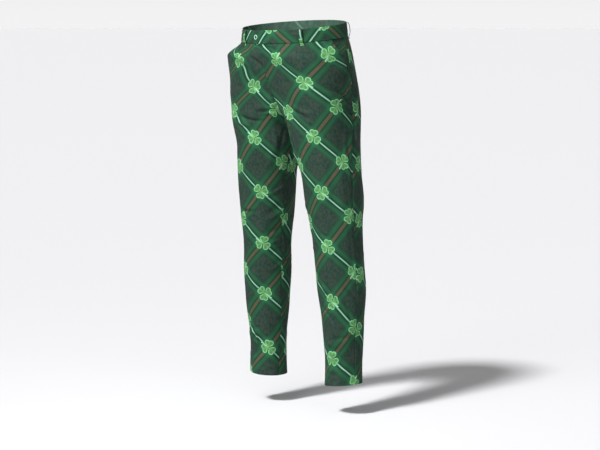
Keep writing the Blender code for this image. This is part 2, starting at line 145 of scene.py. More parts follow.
# Finer creases, with the same columns
CREASES = {
    LEFT: (
        (50, 236, 72, 262, 5, -5.5), (92, 16, 108, 48, 4.9, -6.6), (97, 12, 116, 36, 4.9, 4.2),
        (92, 216, 120, 241, 4.9, -5.6), (96, 204, 122, 228, 4.9, 3.4), (150, 152, 192, 202, 5.4, -7.8),
        (152, 168, 190, 216, 5.4, 4.6), (164, 200, 200, 240, 5.4, -7.4), (188, 140, 200, 200, 5.9, -7),
        (62, 250, 44, 330, 6.4, -6), (88, 700, 124, 762, 5.9, -7.8), (82, 716, 118, 776, 5.9, 5),
        (146, 716, 184, 772, 5.9, -7), (70, 764, 108, 806, 5.9, -6), (138, 744, 160, 812, 5.9, -5.2),
        (160, 142, 184, 98, 5.4, -4.8), (190, 220, 190, 350, 6.9, -5.6), (36, 262, 28, 340, 4.5, 3.8),
        (20, 268, 34, 368, 5, -3.4), (198, 176, 194, 268, 4.5, 3.4), (208, 140, 204, 236, 4.5, -3.4),
        (168, 246, 172, 420, 6.5, 2.8), (178, 300, 180, 500, 6, -2.7), (164, 480, 176, 700, 7, 2.7),
        (28, 470, 52, 498, 4.5, 2.7), (16, 522, 58, 548, 5, -2.8), (18, 602, 44, 612, 4.5, 2.4),
        (84, 560, 130, 574, 6, -2.1), (96, 862, 152, 856, 5, -2.8), (60, 902, 128, 908, 5, 3.1),
        (70, 948, 112, 956, 5, 2.7), (180, -14, 190, 16, 4, 0.9), (196, -17, 204, 12, 4, -0.9),
        (112, -12, 108, 14, 6, 0.6),
    ),
    RIGHT: (
        (74, 196, 44, 226, 5, -7), (70, 182, 46, 206, 5, 4), (66, 214, 34, 236, 4.5, -6),
        (112, 36, 84, 102, 5.9, -6.6), (118, 54, 92, 114, 5.9, 4.2), (84, 168, 32, 240, 5.9, -8.3),
        (98, 158, 50, 222, 6.4, 5), (82, 229, 48, 217, 4.9, -6), (116, 239, 66, 258, 5.4, -6.6),
        (118, 253, 72, 272, 5.4, 4.2), (120, 515, 68, 520, 5.4, -6), (120, 529, 76, 536, 5.4, 3.8),
        (10, 540, -16, 622, 5.9, -5.6), (14, 632, -34, 678, 5.9, -5.6), (85, 848, 78, 926, 5.9, 4.6),
        (88, 24, 70, 52, 4.5, 3.1), (40, 268, 30, 330, 4.5, 3.8), (22, 262, 26, 352, 4.5, -3.6),
        (6, 440, 40, 470, 5, 3.1), (2, 510, 46, 545, 5, 2.8), (10, 600, 36, 610, 4.5, 2.7),
        (4, 668, 36, 690, 5.5, 2.7), (74, 546, 112, 566, 6, 2.1), (56, 856, 116, 866, 5, -2.8),
        (44, 900, 110, 904, 5, 3.1), (90, 952, 140, 948, 5, 2.4), (168, 240, 164, 440, 6.5, 2.7),
        (152, 360, 150, 620, 7, -2.4), (198, 176, 190, 280, 4.5, -3.1), (128, -14, 134, 14, 5, 0.6),
        (186, -15, 182, 15, 5, 0.8),
    ),
    BOTH: (
        (306, 236, 250, 276, 5.5, 6.2), (324, 268, 280, 318, 5.5, 5.7), (330, 318, 292, 372, 6, -5.7),
        (286, 530, 250, 512, 5.5, 3.1), (300, 566, 244, 552, 5.5, 3.7), (296, 618, 238, 622, 5.5, 3.4),
        (250, 300, 244, 480, 7, 2.7), (226, 420, 230, 520, 6, 2.4), (222, 660, 226, 820, 7, 2.4),
        (250, 868, 300, 860, 5, -2.8), (244, 916, 296, 922, 5, 2.8), (222, -16, 218, 30, 5, 0.7),
    ),
}

# A slow unevenness of the whole cloth: waves per metre round and down, start of the wave, height
UNEVENNESS = ((9.0, 2.1, 0.4, 0.00100), (-6.0, 4.3, 2.2, 0.00110), (17.0, -3.4, 4.1, 0.00060),
              (13.0, 7.7, 1.3, 0.00055), (-23.0, 5.2, 5.5, 0.00030))

# Belt loops: name, half, angle, how far the print is turned, and a crossing's place across and down
LOOPS = (
    ("belt_loop_front_left", LEFT, 135.0, 40.0, 0.004, 0.048),
    ("belt_loop_front_right", RIGHT, 117.0, -48.0, 0.002, 0.034),
    ("belt_loop_back_left", LEFT, 217.0, 44.0, 0.030, 0.060),
    ("belt_loop_back_right", RIGHT, 217.0, -30.0, -0.030, 0.070),
    ("belt_loop_centre_back", LEFT, 270.2, 90.0, 0.050, 0.020),
)
LOOP_WIDTH = 0.010
LOOP_CLOTH = 0.0015
LOOP_FOOT_Z = -0.022

# A loop's path from the band's top edge down to the panel: height, stand_off
LOOP_PATH = (
    (0.0178, 0.0013), (0.0130, 0.0045), (0.0060, 0.0062), (-0.0040, 0.0064), (-0.0140, 0.0050),
    (-0.0215, 0.0016), (-0.0290, 0.0004),
)

# Steps over which the skin's slope is measured, round the ring in degrees and up it
TURN_STEP, RISE_STEP = 0.25, 0.0005

# Grids of the shells: fine steps in from every edge, then even cells
EDGE_STEPS = (0.0, 0.0003, 0.0009, 0.0020, 0.0036, 0.0052, 0.0060, 0.0068, 0.0090)
PANEL_CELLS = 92
ROW_PITCH = 0.0029
CROTCH_CROWD_Z, CROTCH_CROWD_STEPS = -0.238, 12
SWING_EVENNESS, SWING_LIMIT = 0.8, 5.0
ROUND_LEFT = 0.15
FACING_CELLS, FACING_ROW_PITCH = 44, 0.005
BAND_CELLS, BAND_CROWN = 140, 0.0004
BAND_ROWS = (0.0, 0.0004, 0.0010, 0.0017, 0.0026, 0.0045, 0.0080, 0.0130, 0.0190)
LOOP_STEPS, LOOP_ROLL = 46, 0.0011
LOOP_COLUMNS = (-0.5, -0.47, -0.40, -0.30, -0.10, 0.10, 0.30, 0.40, 0.47, 0.5)

# How seams and stitched edges shape the cloth
SEAM_SINK, SEAM_SOFT = 0.0008, 0.0021
PUCKER, PUCKER_REACH, PUCKERS_PER_METRE = 0.00022, 0.0060, 62.0
EDGE_STITCH_IN, GROOVE, GROOVE_SOFT = 0.0060, 0.00028, 0.0010
HEM_TURN_UP, HEM_MARK, HEM_MARK_SOFT = 0.038, 0.00022, 0.0030

# Stitches
STITCH, STITCH_GAP, THREAD = 0.0026, 0.0008, 0.00024
THREAD_SIDES, THREAD_RINGS = 6, 5
PATH_STEP = 0.001
FLY_POINTS, MOUTH_POINTS, LOOP_POINTS, TACK_POINTS = 160, 140, 60, 12
# The curved row of stitches that holds the fly: height, distance from the centre front
FLY_STITCHES = ((-0.024, 0.036), (-0.060, 0.036), (-0.100, 0.035), (-0.130, 0.033), (-0.150, 0.028),
                (-0.163, 0.020), (-0.171, 0.010), (-0.175, 0.000))
TACK_WIDTH, TACK_ROWS, TACK_HEIGHT = 0.0080, 5, 0.0022
MOUTH_TACKS_Z, MOUTH_TACK_ANGLE, MOUTH_ROW_IN = (-0.034, -0.146), 2.6, (0.002, 0.003)
LOOP_TACKS_IN, LOOP_STITCH_SHARE, LOOP_ROW_IN = (0.0022, 0.0024), 0.32, 0.001

# The button's turned outline: radius, height
BUTTON_OUTLINE = (
    (0.0000, 0.0002), (0.0050, 0.0002), (0.0062, 0.0005), (0.0069, 0.0011), (0.0071, 0.0017),
    (0.0069, 0.0024), (0.0063, 0.0029), (0.0056, 0.0030), (0.0049, 0.0027), (0.0045, 0.0022),
    (0.0040, 0.0019), (0.0030, 0.0018), (0.0000, 0.0018),
)
BUTTON_TURNS = 64
HOLE_RADIUS, HOLE_OUT, HOLE_SIDES = 0.0008, 0.0019, 20
HOLE_PIN_ENDS = (-0.002, 0.006)
# The thread in the holes: its own half width, its rows aside, and its height, arch and dip at the ends
BUTTON_THREAD, BUTTON_ROWS_ASIDE, BUTTON_THREAD_HEIGHT = 0.00021, 0.00018, (0.0019, 0.00045, 0.0012)
BUTTON_THREAD_RINGS, BUTTON_THREAD_SIDES = 15, 8

# The print: a bias check whose lines cross every half repeat, with a shamrock on each crossing
HALF_REPEAT_ACROSS = 0.078
PALE_FALL = 0.071
BROWN_RISE = 0.0855
REPEAT_DOWN = PALE_FALL + BROWN_RISE
PALE_LINE, BROWN_BAR = 0.0038, 0.0086
BAND_START, BAND_FULL, BAND_HOLD, BAND_END = 0.0058, 0.0112, 0.0152, 0.0245

# A leaf of the shamrock: two lobes beside its axis, in metres from the middle
LOBE_OUT, LOBE_ASIDE, LOBE_RADIUS = 0.0142, 0.0054, 0.0074
LEAF_RIM = 0.0016
# How sharply the printed edges end, and where broad tones start and end beside the lines
SHARP, OUTLINE = 0.0005, (-0.0002, 0.0003)
DIAMOND_EDGE, BRIGHT_ROUND, FLECK_SHARE = (0.017, 0.029), (0.026, 0.010), 0.35
STEM_LENGTH, STEM_HALF_WIDTH, STEM_SPREAD, STEM_BEND = 0.0250, 0.0005, 0.065, 5.0

# The crease line of each leg, from which the print is measured: height, angle round the ring
FRONT_GRAIN = ((-0.019, 135.0), (-0.100, 127.0), (-0.200, 116.5), (-0.255, 106.0), (-0.320, 98.0),
               (-0.400, 92.0), (-0.480, 90.0), (-1.020, 90.0))
BACK_GRAIN = ((-0.019, 225.0), (-0.100, 233.0), (-0.200, 243.5), (-0.255, 254.0), (-0.320, 262.0),
              (-0.400, 268.0), (-0.480, 270.0), (-1.020, 270.0))

# How the worn cloth has shifted from its flat lay, at the inner and the outer one of LAY_ANGLES, in
# millimetres: height, inner_across, outer_across, inner_up, outer_up
LAY_FRONT_LEFT = (
    (20, 0, -2, 12, 4), (-20, 0, -2, 12, 4), (-60, -12, 6, -9, -16), (-100, -14, 20, -7, -6),
    (-140, -10, 30, -3, -2), (-180, -3, 30, -3, 0), (-230, 18, 30, -3, 0), (-300, 30, 27, 1, 0),
    (-520, 30, 25, -1, 3), (-700, 27, 19, 1, 1), (-760, 26, 12, 1, 0), (-830, 12, 4, -3, -2),
    (-920, 7, 3, -10, -4), (-1020, 7, 3, -10, -4),
)
LAY_FRONT_RIGHT = (
    (20, 95, 95, 0, 0), (-25, 100, 100, 0, 0), (-65, 126, 132, 0, 3), (-95, 113, 119, 0, 0),
    (-130, 94, 88, -3, -3), (-160, 78, 74, -5, -5), (-210, 50, 55, -2, 8), (-300, 42, 46, 2, 4),
    (-460, 46, 50, 2, 2), (-610, 44, 46, 5, 5), (-760, 40, 42, 12, 12), (-920, 42, 42, 8, 8),
    (-1020, 42, 42, 8, 8),
)
LAY_BACK_LEFT = ((20, -20, -20, 0, 0), (-1020, -20, -20, 0, 0))
LAY_BACK_RIGHT = ((20, 30, 30, 0, 0), (-1020, 30, 30, 0, 0))
LAY_FACING = ((20, -50, -50, 0, 0), (-1020, -50, -50, 0, 0))
LAY_ANGLES = {LEFT: (90.0, 170.0), RIGHT: (30.0, 110.0)}

# The print's height of a crossing on the crease line, down from the waistband
CROSSING_DOWN = {"front_left": 0.127, "front_right": 0.141, "back_left": 0.130, "back_right": 0.060}
FACING_CROSSING_DOWN = 0.095
# The waistband's print is turned a quarter: places on it of a crossing, across and up
BAND_CROSSING = {LEFT: (0.036, 0.031), RIGHT: (-0.096, -0.032)}

# The weave's relief, and the places of a mixing node's colours and result
TWILL_PITCH, TWILL_DEPTH = 0.0011, 0.00025
MIX_FIRST, MIX_SECOND, MIX_RESULT = 6, 7, 2

# The camera, at the photograph's angle
CAMERA_DISTANCE, CAMERA_AZIMUTH, CAMERA_Z = 6.0, 45.0, 0.03
METRES_PER_PIXEL = 0.00285
FRAME_WIDTH_PIXELS = 600.0
SENSOR_MM = 36.0
WAIST_LEFT_OF_MIDDLE_PIXELS = 6.0
AIM_Z = -0.551
FLOOR_Z = -1.085
FLOOR_REACH = 240.0

# Soft lamps: name, azimuth, elevation and softness in degrees, strength. The sky lights all round
LAMPS = (("key", 4.0, 50.0, 8.0, 4.1), ("fill", 60.0, 30.0, 50.0, 0.50))
# A soft box before the hips: place, aim, side length and watts
BOX_PLACE, BOX_AIM, BOX_SIDE, BOX_WATTS = (0.25, -1.15, 0.45), (0.0, 0.0, -0.05), 0.6, 10.5
SKY_STRENGTH, HORIZON_STRENGTH, SKY_FADE = 0.26, 0.89, 0.10


def ease(share):
    """A soft step from 0 to 1."""
    share = np.clip(share, 0.0, 1.0)
    return share * share * (3.0 - 2.0 * share)


def eased(value, start, end):
    """A soft step from 0 at start to 1 at end."""
    return ease((value - start) / (end - start))


def bell(off, reach):
    """1 in the middle, falling softly to 0 past its reach."""
    return np.exp(-((off / reach) ** 2))


def curve_through(rows, at):
    """Values at the heights `at`, on smooth curves through a table whose first column is the height."""
    rows = np.array(rows, dtype=float)
    rows = rows[np.argsort(rows[:, 0])]
    heights, values = rows[:, 0], rows[:, 1:]
    slopes = np.gradient(values, heights, axis=0)
    at = np.asarray(at, dtype=float)
    low = np.clip(np.searchsorted(heights, at) - 1, 0, len(heights) - 2)
    step = (heights[low + 1] - heights[low])[..., None]
    t = (at - heights[low])[..., None] / step
    start, end = values[low], values[low + 1]
    return ((2 * t**3 - 3 * t**2 + 1) * start + (t**3 - 2 * t**2 + t) * step * slopes[low]
            + (3 * t**2 - 2 * t**3) * end + (t**3 - t**2) * step * slopes[low + 1])


def angle_on(line, height):
    """The angle of a seam or edge at a height."""
    return curve_through(line, height)[..., 0]


def section_at(height):
    """Ring sizes at a height, in the order of the columns of SECTIONS after the first."""
    return np.moveaxis(curve_through(np.array(SECTIONS) / 1000.0, height), -1, 0)


def middle_angle(height, clear=SEAM_CLOSED / 2):
    """The front angle at which a ring stops short of the middle plane. It is 0 below the crotch."""
    centre_out, _, half_width, _, _ = section_at(height)
    return np.degrees(np.arccos(np.clip((centre_out - clear) / half_width, -1.0, 1.0)))


def inseam_shift(height):
    """How far the inseam lies to the front of the ring's inner side, in degrees."""
    return INSEAM_SHIFT * eased(height, CROTCH_Z, INSEAM_SHIFT_END_Z)


def hand_room(angle, height, gape):
    """How far the cloth over a pocket stands out, more along the mouth's free edge where gape is 1."""
    down = eased(height, HAND_TOP_Z, HAND_FULL_Z)
    up = eased(height, HAND_END_Z, HAND_FADE_Z)
    around = bell(angle - HAND_ANGLE, HAND_SPREAD)
    free_edge = ease((height - MOUTH_END_Z) / GAPE_FADE) * eased(angle, GAPE_START_ANGLE, GAPE_FULL_ANGLE)
    return down * (HAND_ROOM * around * up + gape * MOUTH_GAPE * free_edge)


def smooth_skin(side, angle, height, hand=1.0, gape=0.0):
    """Points of the outer cloth without folds: the ring, the hand's room, the waist's and hem's tilt."""
    turn = np.radians(angle)
    centre_out, centre_back, half_width, front, back = section_at(height)
    across, ahead = np.cos(turn), np.sin(turn)
    room = hand * hand_room(angle, height, gape)
    x = side * (centre_out - (half_width + room) * across)
    y = centre_back - (np.where(ahead > 0, front, back) + room) * ahead
    waist_share = eased(height, TILT_END_Z, 0.0)
    hem_share = eased(height, HEM_DROP_START_Z, HEM_Z)
    z = height + WAIST_TILT * waist_share * y - HEM_DROP * hem_share * (0.5 + 0.5 * across)
    return np.stack([x, y, z], axis=-1)


def folds_of(table, side, angle, height, fade=FOLD_END, reach=1.0, fan=0.0, bow=0.0, shoulder=0.0):
    """How far a table's folds lift or sink the cloth."""
    total = np.zeros(np.broadcast(angle, height).shape)
    for row in table[side] + table[BOTH]:
        start, end = row[0], row[2]
        down, end_down, spread, rise = (value / 1000.0 for value in (row[1], row[3], row[4], row[5]))
        around = ((angle - start + 180.0) % 360.0 - 180.0) * FOLD_METRES_PER_DEGREE
        run = np.array([(end - start) * FOLD_METRES_PER_DEGREE, down - end_down])
        length = np.hypot(*run)
        along = (around * run[0] + (height + down) * run[1]) / length**2
        along = (along - 0.5) / reach + 0.5
        off = (around * run[1] - (height + down) * run[0]) / length
        off = off + bow * length * np.sign(rise) * (2.0 * along - 1.0) ** 2
        wide = spread * (1.0 + fan * np.clip(2.0 * along - 1.0, -1.0, 1.0) ** 2)
        ends = ease(along / fade) * ease((1.0 - along) / fade)
        total = total + rise * ends * (bell(off, wide) - shoulder * bell(off, SHOULDER_REACH * wide))
    return total


def unevenness(side, angle, height):
    """The slow rise and fall of cloth that was sewn, worn and pressed."""
    around = 2.0 * np.pi * angle / 360.0
    total = np.zeros(np.broadcast(angle, height).shape)
    for across, down, start, rise in UNEVENNESS:
        turns = round(abs(across) / 3.0) * np.sign(across)
        total = total + rise * np.sin(turns * around + 2.0 * np.pi * down * height + start + side)
    return total


def fold_rise(side, angle, height):
    """All folds, creases and unevenness together."""
    creases = folds_of(CREASES, side, angle, height, CREASE_END, CREASE_REACH, CREASE_FAN, CREASE_BOW,
                       SHOULDER_SHARE)
    creases = creases * ease((np.abs(height - PANEL_TOP_Z) - BAND_SEAM_STILL) / BAND_SEAM_FADE)
    return folds_of(FOLDS, side, angle, height) + creases + unevenness(side, angle, height)


def skin(side, angle, height, lift=0.0, hand=1.0, gape=0.0):
    """Points of the outer face, moved out by lift. Past the centre front they follow the other half."""
    angle, height = np.broadcast_arrays(np.asarray(angle, float), np.asarray(height, float))
    middle = middle_angle(height, clear=0.0)
    past = (angle < middle) & (height > CROTCH_Z)
    own = np.where(past, -side, side)
    angle = np.where(past, 2.0 * middle - angle, angle)
    points = smooth_skin(own, angle, height, hand, gape)
    round_ring = (smooth_skin(own, angle + TURN_STEP, height, hand, gape)
                  - smooth_skin(own, angle - TURN_STEP, height, hand, gape))
    up_leg = (smooth_skin(own, angle, height + RISE_STEP, hand, gape)
              - smooth_skin(own, angle, height - RISE_STEP, hand, gape))
    normal = np.cross(round_ring, up_leg) * own[..., None]
    normal /= np.linalg.norm(normal, axis=-1, keepdims=True)
    folds = np.where(own == LEFT, fold_rise(LEFT, angle, height), fold_rise(RIGHT, angle, height))
    folds = folds * ease(np.abs(points[..., 0]) / FOLD_CLEAR_OF_MIDDLE)
    return points + normal * (folds + lift)[..., None]


def arc_degrees(height, length):
    """Degrees that a length takes round the front of the ring."""
    half_width = section_at(height)[2]
    return np.degrees(length / half_width)


def half_gap_degrees(height):
    """Half a seam gap as degrees round the outer side of a ring."""
    _, _, _, front, back = section_at(height)
    return np.degrees(SEAM_CLOSED / 2 / (0.5 * (front + back)))


def fly_shares(height):
    """How much of the fly's lap, and of its lift, is left at a height: the lap ends first."""
    return eased(height, FLY_END_Z, FLY_FADE_Z), eased(height, LIFT_END_Z, FLY_END_Z)


def lap_lift(angle, height, lift, reach):
    """The lift of a lapping edge: whole at the centre front, none a reach away."""
    away = (angle - middle_angle(height, clear=0.0)) / arc_degrees(height, 1.0)
    return lift * ease(1.0 - away / reach)


def row_heights():
    """The heights of a leg shell's rows: fine at the band and hem, crowded into the crotch."""
    steps = np.array(EDGE_STEPS)
    top = np.concatenate([[PANEL_TOP_Z + TUCK, PANEL_TOP_Z + TUCK / 2], PANEL_TOP_Z - steps])
    bottom = HEM_Z + steps[::-1]
    upper = np.linspace(top[-1], CROTCH_CROWD_Z, round((top[-1] - CROTCH_CROWD_Z) / ROW_PITCH) + 1)
    left = (1.0 - np.arange(1, CROTCH_CROWD_STEPS + 1) / CROTCH_CROWD_STEPS) ** 2
    crowded = CROTCH_Z + (CROTCH_CROWD_Z - CROTCH_Z) * left
    lower = np.linspace(CROTCH_Z, bottom[0], round((CROTCH_Z - bottom[0]) / ROW_PITCH) + 1)
    return np.concatenate([top[:-1], upper, crowded, lower[1:], bottom[1:]])


def edge_shares(lengths, cells):
    """Shares across each row: fine steps at both edges, and even cells between."""
    steps = np.array(EDGE_STEPS)[None, :] / lengths[:, None]
    between = np.linspace(0.0, 1.0, cells + 1)[None, 1:-1]
    inner = steps[:, -1:] + (1.0 - 2.0 * steps[:, -1:]) * between
    return np.concatenate([steps, inner, 1.0 - steps[:, ::-1]], axis=1)


def leg_columns(centre_edge, outer_edge, rest, shares):
    """Angles of a leg panel's columns, from its centre edge to its side seam, for each row.

    The centre edge swings round to rest, its angle at the inseam. The columns near it take up the swing.
    """
    swing = (centre_edge - rest)[:, None]
    span = (outer_edge - rest)[:, None]
    softness = SWING_EVENNESS * np.abs(span) / np.maximum(np.abs(swing), 1.0)
    return rest + span * shares + swing * (1.0 - shares) ** np.clip(softness, 1.0, SWING_LIMIT)


def along_rows(points):
    """Distances of a grid's points from the first column, along their row."""
    steps = np.linalg.norm(np.diff(points, axis=1), axis=-1)
    return np.concatenate([np.zeros((len(points), 1)), np.cumsum(steps, axis=1)], axis=1)


def along_columns(points):
    """Distances of a grid's points from the first row, along their column."""
    return along_rows(np.swapaxes(points, 0, 1)).T


class Grid:
    """A shell's grid of angles and heights, with each point's distances from its four edges."""

    def __init__(self, side, angles, heights):
        self.side, self.angles = side, angles
        self.heights = np.repeat(heights[:, None], angles.shape[1], axis=1)
        points = smooth_skin(side, angles, self.heights)
        self.from_first, self.from_top = along_rows(points), along_columns(points)
        self.from_last = self.from_first[:, -1:] - self.from_first
        self.from_bottom = self.from_top[-1:] - self.from_top
        self.from_edge = np.minimum.reduce([self.from_first, self.from_last, self.from_top, self.from_bottom])


def row_lengths(side, first, last, heights, samples=40):
    """The length of each row between two edges."""
    share = np.linspace(0.0, 1.0, samples + 1)[None, :]
    angles = first[:, None] * (1.0 - share) + last[:, None] * share
    levels = np.repeat(heights[:, None], samples + 1, axis=1)
    return along_rows(smooth_skin(side, angles, levels))[:, -1]


def seam_sink(distance, along):
    """How far the cloth dips into a seam, with small uneven puckers beside it."""
    wave = np.sin(2 * np.pi * PUCKERS_PER_METRE * along + 2.0 * np.sin(31.0 * along))
    return PUCKER * wave * bell(distance, PUCKER_REACH) - SEAM_SINK * bell(distance, SEAM_SOFT)


def stitched_edge(distance):
    """The shallow groove that a row of stitches pulls beside a folded edge."""
    return -GROOVE * bell(distance - EDGE_STITCH_IN, GROOVE_SOFT)


def cloth_uv(side, grain, lay, crossing_down, angles, levels):
    """Places on the flat print: across from the crease line, and up from a crossing."""
    ring = np.arange(-30.0, 391.0, 1.0)
    heights = levels[:, 0]
    grain_angles = angle_on(grain, heights)
    across = np.empty(angles.shape)
    for row, lengths in enumerate(along_rows(smooth_skin(side, ring[None, :], heights[:, None]))):
        start = np.interp(grain_angles[row], ring, lengths)
        across[row] = side * (np.interp(angles[row], ring, lengths) - start)
    down = along_rows(smooth_skin(side, grain_angles, heights)[None])[0]
    inner, outer = LAY_ANGLES[side]
    share = (angles - inner) / (outer - inner)
    shifts = curve_through(np.array(lay) / 1000.0, heights)
    inner_across, outer_across, inner_up, outer_up = np.moveaxis(shifts, -1, 0)[..., None]
    moved_across = inner_across * (1.0 - share) + outer_across * share
    moved_up = inner_up * (1.0 - share) + outer_up * share
    return across - moved_across, (crossing_down - down)[:, None] - moved_up


def wall_faces(rows, columns, flip):
    """Faces of a closed wall: an outer grid, an inner grid of the same size after it, and the rim."""
    index = np.arange(rows * columns).reshape(rows, columns)
    corners = [index[:-1, :-1], index[1:, :-1], index[1:, 1:], index[:-1, 1:]]
    outside = np.stack(corners, axis=-1).reshape(-1, 4)
    rim = np.concatenate([index[0], index[1:, -1], index[-1, -2::-1], index[-2:0:-1, 0]])
    after = np.roll(rim, -1)
    edge = np.stack([rim, after, after + index.size, rim + index.size], axis=1)
    faces = np.concatenate([outside, edge, outside[:, ::-1] + index.size])
    return (faces[:, ::-1] if flip else faces), len(outside) + len(edge)


def placed(name, data):
    """An object in the scene."""
    thing = bpy.data.objects.new(name, data)
    bpy.context.scene.collection.objects.link(thing)
    return thing


def mesh_of(name, points, faces):
    """A mesh from plain lists or arrays."""
    mesh = bpy.data.meshes.new(name)
    mesh.from_pydata([tuple(point) for point in points], [], [tuple(face) for face in faces])
    return mesh


def riding(name, mesh, materials):
    """A smooth piece that rides on the trousers' one body."""
    mesh.materials.clear()
    for material in materials:
        mesh.materials.append(material)
    mesh.polygons.foreach_set("use_smooth", [True] * len(mesh.polygons))
    piece = placed(name, mesh)
    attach(piece, "root")
    return piece


def joined(bodies):
    """Points and faces of several bodies as one."""
    points, faces = [], []
    for body_points, body_faces in bodies:
        faces.extend(tuple(index + len(points) for index in face) for face in body_faces)
        points.extend(body_points)
    return points, faces


def lay_print(piece, across, up):
    """Write the flat print's places to the piece's UV map, one for each point."""
    layer = piece.data.uv_layers.new(name="cloth")
    corners = np.empty(len(piece.data.loops), dtype=int)
    piece.data.loops.foreach_get("vertex_index", corners)
    layer.data.foreach_set("uv", np.stack([across, up], axis=1)[corners].astype(np.float32).ravel())


def shell(name, grid, lift, thickness, across, up, materials, hand=1.0, gape=0.0,
          plump=None):
    """A thin cloth wall in a solid's place, with rounded edges, printed outside and plain inside."""

    def skin_at(moved):
        return skin(grid.side, grid.angles, grid.heights, moved, hand, gape)

    reach = thickness / 2 if plump is None else plump
    corner = 1.0 - np.clip(grid.from_edge / reach, 0.0, 1.0)
    rounded = (1.0 - ROUND_LEFT) * (1.0 - np.sqrt(1.0 - corner**2))
    bare = skin_at(0.0)
    facing_middle = np.abs(skin_at(CLOTH) - bare)[..., 0] / CLOTH
    held = np.minimum(MIDDLE_HOLD * facing_middle, 1.0) * (1.0 - ease(np.abs(bare[..., 0]) / MIDDLE_REACH))
    outer_lift = lift - rounded * thickness / 2
    outer = skin_at(outer_lift * np.where(outer_lift < 0.0, 1.0 - held, 1.0))
    inner = skin_at(lift - thickness + rounded * thickness / 2)
    faces, outside_count = wall_faces(*grid.angles.shape, flip=grid.side == RIGHT)
    points = np.concatenate([outer.reshape(-1, 3), inner.reshape(-1, 3)])
    piece = riding("cloth_" + name, mesh_of("cloth_" + name, points, faces), materials)
    unprinted = np.arange(len(faces)) >= outside_count
    piece.data.polygons.foreach_set("material_index", unprinted.astype(np.int32))
    lay_print(piece, np.tile(across.ravel(), 2), np.tile(up.ravel(), 2))
    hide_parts(name)
    return piece


def added(tree, kind, inputs, **settings):
    """A new shader node, with its settings and inputs."""
    node = tree.nodes.new("ShaderNode" + kind)
    for name, value in settings.items():
        setattr(node, name, value)
    return fill(tree, node, inputs)


def fill(tree, node, inputs):
    """Set or link a node's inputs, by name or place."""
    for label, value in inputs.items():
        value = getattr(value, "socket", value)
        if isinstance(value, bpy.types.NodeSocket):
            tree.links.new(value, node.inputs[label])
        else:
            node.inputs[label].default_value = value
    return node


class Field:
    """A number that varies over a surface, as a shader node's output, with plain arithmetic."""

    def __init__(self, tree, socket):
        self.tree, self.socket = tree, socket

    def work(self, operation, *others):
        """The field that an operation makes of this one and others."""
        node = added(self.tree, "Math", dict(enumerate((self, *others))), operation=operation)
        return Field(self.tree, node.outputs[0])

    __add__, __sub__ = partialmethod(work, "ADD"), partialmethod(work, "SUBTRACT")
    __mul__, __truediv__ = partialmethod(work, "MULTIPLY"), partialmethod(work, "DIVIDE")
    least, most = partialmethod(work, "MINIMUM"), partialmethod(work, "MAXIMUM")
    sine, cosine = partialmethod(work, "SINE"), partialmethod(work, "COSINE")
    size, whole = partialmethod(work, "ABSOLUTE"), partialmethod(work, "ROUND")
    # 0 at even whole numbers and 1 at odd ones
    odd = partialmethod(work, "FLOORED_MODULO", 2.0)

    def root(self):
        """The square root, or 0 below 0."""
        return self.most(0.0).work("SQRT")

    def step(self, start, end):
        """A soft step from 0 at start to 1 at end. It falls where start is the larger."""
        ends = {"From Min": min(start, end), "From Max": max(start, end),
                "To Min": float(start > end), "To Max": float(start < end), "Value": self}
        node = added(self.tree, "MapRange", ends, interpolation_type="SMOOTHSTEP")
        return Field(self.tree, node.outputs["Result"])


def shade(red, green, blue):
    """A colour given in screen values, as the light values that shaders take."""
    return tuple((value / 255.0) ** 2.2 for value in (red, green, blue)) + (1.0,)


def mixed(tree, share, first, second):
    """A colour between two, by a field."""
    inputs = {"Factor": share, MIX_FIRST: first, MIX_SECOND: second}
    return added(tree, "Mix", inputs, data_type="RGBA").outputs[MIX_RESULT]


def layered(tree, colour, *layers):
    """A colour under layers of others, each with its share."""
    for share, tint in layers:
        colour = mixed(tree, share, colour, shade(*tint))
    return colour


def parts_of(tree, place):
    """The three numbers of a place, as fields."""
    return [Field(tree, socket) for socket in added(tree, "SeparateXYZ", {0: place}).outputs]


def cloth_place(tree):
    """The flat place on the cloth, and its two numbers as fields."""
    place = added(tree, "UVMap", {}, uv_map="cloth").outputs["UV"]
    return place, *parts_of(tree, place)[:2]


def noise(tree, place, scale, detail=2.0, stretch=(1.0, 1.0)):
    """Soft noise over the flat cloth, from 0 to 1."""
    stretched = added(tree, "Mapping", {"Scale": (*stretch, 1.0), "Vector": place}).outputs[0]
    inputs = {"Scale": scale, "Detail": detail, "Vector": stretched}
    return Field(tree, added(tree, "TexNoise", inputs, noise_dimensions="2D").outputs[0])


def grain_through(tree, scale, detail=2.0):
    """Noise through a body, from 0 to 1, and the place it goes by."""
    place = added(tree, "TexCoord", {}).outputs["Object"]
    node = added(tree, "TexNoise", {"Scale": scale, "Detail": detail, "Vector": place})
    return Field(tree, node.outputs[0]), place


